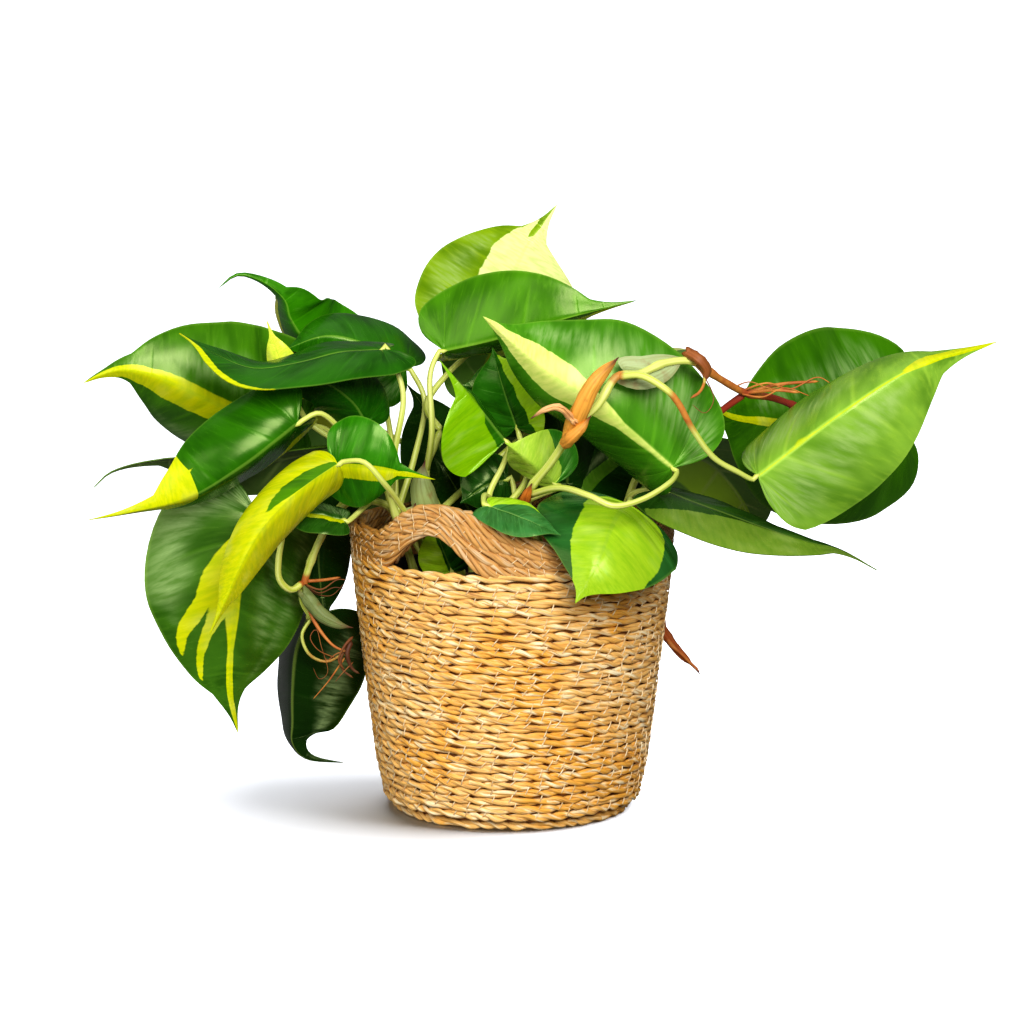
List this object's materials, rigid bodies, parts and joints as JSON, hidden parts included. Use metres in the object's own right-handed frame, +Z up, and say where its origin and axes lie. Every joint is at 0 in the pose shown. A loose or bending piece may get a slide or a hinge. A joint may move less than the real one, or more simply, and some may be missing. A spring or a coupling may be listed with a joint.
{
  "type": "potted trailing houseplant in a woven basket",
  "caption": "Trailing houseplant with variegated heart-shaped leaves, in a growing pot inside a woven seagrass basket with two arched handle holes.",
  "frame": {"origin": "middle of the basket's flat underside", "axes": "+Z up along the basket's axis, -Y towards the viewer of the picture, +X to that viewer's right"},
  "size_m": [0.4191, 0.2116, 0.2811],
  "materials": {
    "seagrass": "woven dried grass",
    "pot_plastic": "matt",
    "soil": "loose damp peat",
    "stem": "smooth living stem",
    "leaf": "glossy living leaf",
    "dried_sheath": "dry papery sheath"
  },
  "bodies": {
    "root": {"basket": "seagrass", "nursery_pot": "pot_plastic", "potting_soil": "soil", "right_vine": "stem", "centre_vine": "stem", "centre_front_vine": "stem", "left_vine": "stem", "left_hanging_vine": "stem", "back_left_vine": "stem", "back_right_vine": "stem", "leaf_right_front": "leaf", "leaf_right_back": "leaf", "leaf_right_low": "leaf", "leaf_centre_large": "leaf", "leaf_rim_front": "leaf", "leaf_top_back": "leaf", "leaf_top_front": "leaf", "leaf_cupped": "leaf", "leaf_small_heart": "leaf", "leaf_folded": "leaf", "leaf_rim_small": "leaf", "leaf_centre_low": "leaf", "leaf_inside_handle": "leaf", "leaf_centre_dark": "leaf", "leaf_upper_left": "leaf", "leaf_upper_round": "leaf", "leaf_left_long": "leaf", "leaf_far_left": "leaf", "leaf_mid_dark": "leaf", "leaf_spike": "leaf", "leaf_mid_left": "leaf", "leaf_left_tail": "leaf", "leaf_yellow": "leaf", "leaf_round_left": "leaf", "leaf_hanging": "leaf", "leaf_small_green": "leaf", "leaf_small_dark": "leaf", "leaf_back_high": "leaf", "leaf_back_left_side": "leaf", "leaf_back_left_low": "leaf", "leaf_back_low": "leaf", "leaf_back_right_low": "leaf", "leaf_back_right_high": "leaf", "dried_sheath_right": "dried_sheath", "dried_sheath_left": "dried_sheath"}
  },
  "joints": []
}
